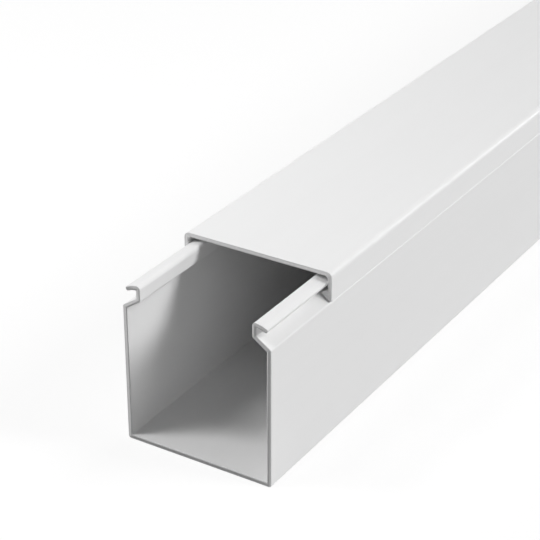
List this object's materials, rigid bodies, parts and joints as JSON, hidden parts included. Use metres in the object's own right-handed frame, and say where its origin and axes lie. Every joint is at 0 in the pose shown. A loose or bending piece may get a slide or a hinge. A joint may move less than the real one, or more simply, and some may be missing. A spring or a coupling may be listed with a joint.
{
  "type": "cable trunking",
  "caption": "Length of square PVC cable trunking: an open channel with out-turned, drooping snap lips and a barbed clip-on cover pushed back from one end.",
  "frame": {"origin": "centre of the channel's flat back face, half way along its length", "axes": "+Y along the length, away from the end where the cover is pushed back; +Z out of the back face, towards the cover; X across the width"},
  "size_m": [0.0596, 2.0375, 0.0644],
  "materials": {
    "channel_pvc": "satin",
    "cover_pvc": "satin"
  },
  "bodies": {
    "channel": {"base_channel": "channel_pvc"},
    "cover": {"snap_cover": "cover_pvc"}
  },
  "joints": [
    {"name": "cover_slide", "type": "slide", "parent": "channel", "child": "cover", "axis": [0, 1, 0], "range_m": [-0.0375, 1.8625]}
  ]
}
